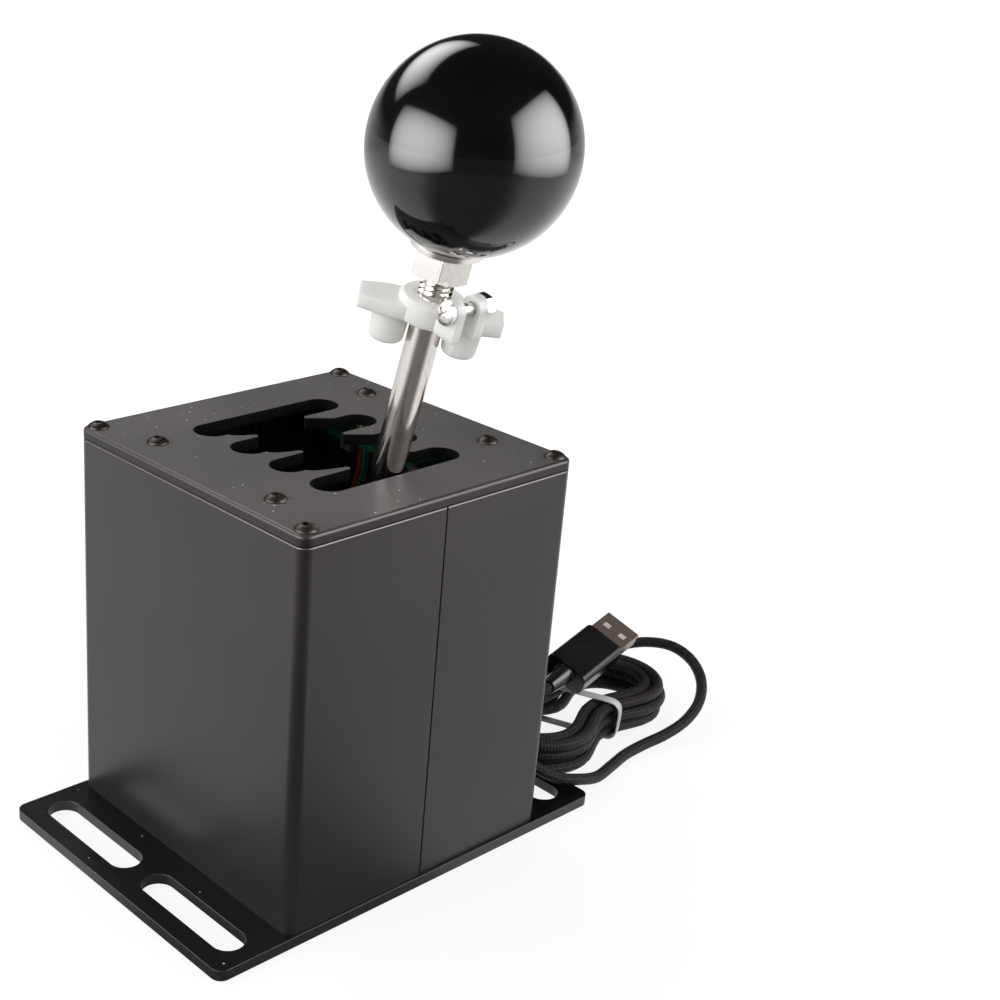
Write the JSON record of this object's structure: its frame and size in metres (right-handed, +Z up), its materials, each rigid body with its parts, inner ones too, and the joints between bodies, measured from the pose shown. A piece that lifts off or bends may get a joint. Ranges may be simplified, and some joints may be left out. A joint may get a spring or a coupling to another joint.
{
  "type": "sim racing gear shifter",
  "caption": "Gated H-pattern gear shifter for sim racing: square metal box on a slotted base, lever on a gimbal with a black ball knob and a nylon clamp, USB lead tied in a hank.",
  "frame": {"origin": "centre of the base plate's underside, midway between the mounting slots", "axes": "+Z up, +Y towards the side the lead leaves from (lever pushed forward), +X to the driver's right"},
  "size_m": [0.1143, 0.2125, 0.2155],
  "materials": {
    "black_plate": "satin black anodised plate",
    "shell": "satin black anodised extrusion",
    "dark_screw": "dark bronze-black oxide",
    "bracket": "milled",
    "zinc_screw": "zinc plated",
    "bronze": "sintered bronze",
    "nylon": "milky natural nylon",
    "rod": "polished stainless",
    "nickel": "bright nickel",
    "magnet": "nickel-coated magnet",
    "black_plastic": "moulded",
    "knob": "high gloss black",
    "brass": "turned",
    "board": "solder mask green",
    "wire": "coloured wire insulation",
    "inner_lead": "lead jacket",
    "braid": "braided black sleeve",
    "tie": "thin flat tie, grey-white",
    "plug": "glossy overmould",
    "plug_metal": "nickel shell"
  },
  "bodies": {
    "base": {"base_plate": "black_plate", "gate_plate": "black_plate", "rear_shell": "shell", "front_shell": "shell", "gate_corner_screws": "dark_screw", "gate_sensor_screws": "dark_screw", "base_screws": "dark_screw", "pivot_bracket_rear": "bracket", "pivot_bracket_front": "bracket", "bracket_screws": "zinc_screw", "pivot_bushes": "bronze", "controller_posts": "nylon", "rear_hall_sensors": "black_plastic", "front_hall_sensors": "black_plastic", "controller_parts": "black_plastic", "strain_relief": "black_plastic", "board_spacers": "brass", "rear_sensor_board": "board", "front_sensor_board": "board", "controller_board": "board", "rear_harness": "wire", "front_harness": "wire", "inner_lead": "inner_lead", "usb_cord": "braid", "cord_hank": "braid", "cord_tail": "braid", "cord_tie": "tie", "plug_body": "plug", "plug_shell": "plug_metal"},
    "cradle": {"cradle": "bracket", "trunnion_clips": "zinc_screw", "shift_pin": "zinc_screw", "pin_clips": "zinc_screw", "friction_washers": "nylon"},
    "lever": {"lever_foot": "bracket", "foot_lock_nut": "zinc_screw", "lever_rod": "rod", "magnet_sleeve": "black_plastic", "ring_magnet": "magnet", "lever_clamp": "nylon", "clamp_screw": "nickel", "clamp_nut": "nickel", "knob_nut": "nickel", "knob_washer": "nickel", "knob": "knob", "knob_insert": "brass"}
  },
  "joints": [
    {"name": "select", "type": "hinge", "parent": "base", "child": "cradle", "pos_m": [0, 0, 0.017], "axis": [0, 1, 0], "range_deg": [-28.51, 0]},
    {"name": "shift", "type": "hinge", "parent": "cradle", "child": "lever", "pos_m": [0, 0, 0.017], "axis": [-0.9692, 0, 0.2463], "range_deg": [-10.9, 10.9]}
  ]
}
